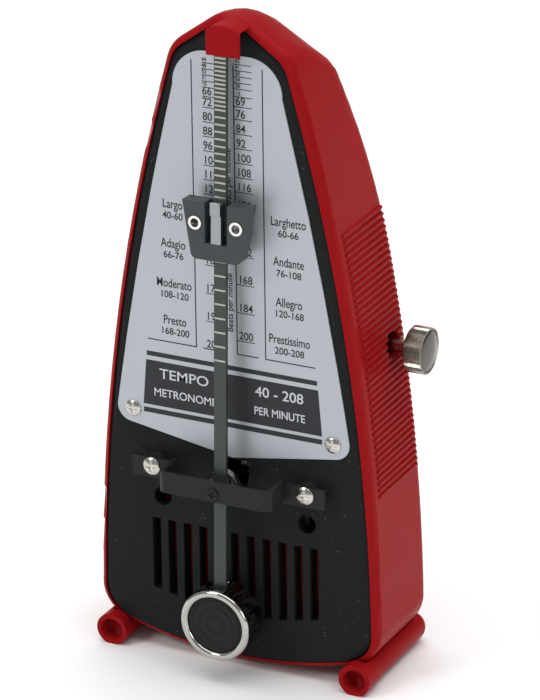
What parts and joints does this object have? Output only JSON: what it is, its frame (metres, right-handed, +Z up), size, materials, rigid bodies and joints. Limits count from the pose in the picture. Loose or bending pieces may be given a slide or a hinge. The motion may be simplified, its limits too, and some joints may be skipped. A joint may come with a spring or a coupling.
{
  "type": "metronome",
  "caption": "Wind-up metronome with a tapered red plastic case, black front panel, silver scale plate, swinging steel rod with sliding weight, and a side winding knob.",
  "frame": {"origin": "centre of the overall box, at the table surface under the feet", "axes": "+X to the winding knob side, +Y to the back, +Z up"},
  "size_m": [0.0776, 0.0438, 0.16],
  "materials": {
    "case_red": "smooth glossy moulded plastic",
    "panel_black": "fine textured matte black plastic",
    "scale_plate": "brushed plate with printed scale",
    "screw_chrome": "bright plated screws",
    "bridge_black": "black enamel",
    "rod_steel": "dark bright-drawn steel",
    "hub_steel": "turned steel",
    "cup_chrome": "bright chrome",
    "insert_black": "black lead-filled disc",
    "weight_paint": "dark slate paint",
    "pad_steel": "light grey spring steel",
    "rivet_nickel": "bright nickel",
    "train_brass": "plain brass",
    "spring_steel": "blued spring steel",
    "knob_nickel": "nickel plated"
  },
  "bodies": {
    "case": {"case_shell": "case_red", "sound_baffle": "case_red", "left_foot": "case_red", "right_foot": "case_red", "front_panel": "panel_black", "scale_plate": "scale_plate", "plate_screws": "screw_chrome", "bridge": "bridge_black", "bridge_screws": "screw_chrome", "bearing_screw": "bridge_black", "click_spring": "spring_steel", "frame_plate_left": "rod_steel", "frame_plate_right": "rod_steel", "frame_pillars": "rod_steel", "rear_bearing": "rod_steel", "potence": "rod_steel"},
    "pendulum": {"pendulum_rod": "rod_steel", "pendulum_hub": "hub_steel", "verge_arbor": "hub_steel", "verge_pallets": "hub_steel", "lower_weight_cup": "cup_chrome", "lower_weight_insert": "insert_black"},
    "weight": {"sliding_weight": "weight_paint", "weight_back_plate": "weight_paint", "weight_spring": "pad_steel", "weight_rivets": "rivet_nickel"},
    "winding": {"winding_shaft": "knob_nickel", "winding_knob": "knob_nickel", "ratchet_wheel": "hub_steel"},
    "barrel": {"spring_barrel": "train_brass", "barrel_cover": "train_brass", "mainspring": "spring_steel"},
    "second": {"second_arbor": "hub_steel", "second_wheel": "train_brass"},
    "third": {"third_arbor": "hub_steel", "third_wheel": "train_brass"},
    "escape": {"escape_arbor": "hub_steel", "escape_wheel": "train_brass"},
    "click": {"click": "hub_steel"}
  },
  "joints": [
    {"name": "pendulum_swing", "type": "hinge", "parent": "case", "child": "pendulum", "pos_m": [-0.00235, -0.0172, 0.0484], "axis": [0, 1, 0], "range_deg": [-28, 28]},
    {"name": "weight_slide", "type": "slide", "parent": "pendulum", "child": "weight", "axis": [0, 0.0354, 0.9994], "range_m": [-0.038, 0.03]},
    {"name": "winding_turn", "type": "hinge", "parent": "case", "child": "winding", "pos_m": [-0.00235, 0.0096, 0.0794], "axis": [1, 0, 0], "continuous": true},
    {"name": "barrel_turn", "type": "hinge", "parent": "case", "child": "barrel", "pos_m": [-0.00635, 0.0096, 0.0794], "axis": [1, 0, 0], "continuous": true},
    {"name": "second_turn", "type": "hinge", "parent": "case", "child": "second", "pos_m": [0.00065, 0.00765, 0.07025], "axis": [1, 0, 0], "continuous": true},
    {"name": "third_turn", "type": "hinge", "parent": "case", "child": "third", "pos_m": [0.00565, 0.00594, 0.06051], "axis": [1, 0, 0], "continuous": true},
    {"name": "escape_turn", "type": "hinge", "parent": "case", "child": "escape", "pos_m": [0.00565, 0.00294, 0.0484], "axis": [1, 0, 0], "continuous": true},
    {"name": "click_lift", "type": "hinge", "parent": "case", "child": "click", "pos_m": [-0.01335, 0.0002, 0.082], "axis": [1, 0, 0], "range_deg": [-2, 12], "stiffness_Nm_per_rad": 0.0005}
  ],
  "couplings": [
    {"joint": "second_turn", "follows": "barrel_turn", "ratio": -2},
    {"joint": "third_turn", "follows": "barrel_turn", "ratio": 4.3333},
    {"joint": "escape_turn", "follows": "barrel_turn", "ratio": -8.6667}
  ]
}
